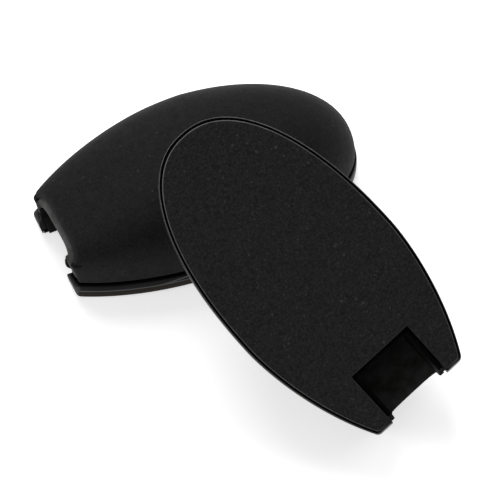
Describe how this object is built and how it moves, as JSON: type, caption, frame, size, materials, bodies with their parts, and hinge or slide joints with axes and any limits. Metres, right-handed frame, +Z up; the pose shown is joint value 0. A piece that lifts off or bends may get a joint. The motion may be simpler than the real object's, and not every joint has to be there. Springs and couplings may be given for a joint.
{
  "type": "skate blade guards",
  "caption": "Hollow egg-shaped skate blade guards with a soft domed cover, a rounded rim, a flat face plate and a blade channel open at the narrow end; one leans on the other.",
  "frame": {"origin": "centre of the pair's footprint on the surface that it lies on", "axes": "+X along the lower guard from its mouth to its round end, +Y across it away from the leaning guard, +Z up"},
  "size_m": [0.1116, 0.147, 0.0733],
  "materials": {
    "soft_cover": "soft-touch matte",
    "rim_plastic": "satin moulded",
    "face_plate": "fine-grained matte",
    "channel_plastic": "satin moulded",
    "liner_plastic": "satin moulded",
    "adhesive": "dull sheet",
    "screw_steel": "plain zinc"
  },
  "bodies": {
    "rear_guard": {"rear_face_plate": "face_plate", "rear_plate_adhesive": "adhesive", "rear_rim_tray": "rim_plastic", "rear_blade_channel": "channel_plastic", "rear_dome_liner": "liner_plastic", "rear_dome_cover": "soft_cover", "rear_screw_1": "screw_steel", "rear_screw_2": "screw_steel", "rear_screw_3": "screw_steel", "rear_screw_4": "screw_steel"},
    "front_guard": {"front_face_plate": "face_plate", "front_plate_adhesive": "adhesive", "front_rim_tray": "rim_plastic", "front_blade_channel": "channel_plastic", "front_dome_liner": "liner_plastic", "front_dome_cover": "soft_cover", "front_screw_1": "screw_steel", "front_screw_2": "screw_steel", "front_screw_3": "screw_steel", "front_screw_4": "screw_steel"}
  },
  "joints": [
    {"name": "front_guard_lift", "type": "slide", "parent": "rear_guard", "child": "front_guard", "axis": [0, 0, 1], "range_m": [0, 0.08]}
  ]
}
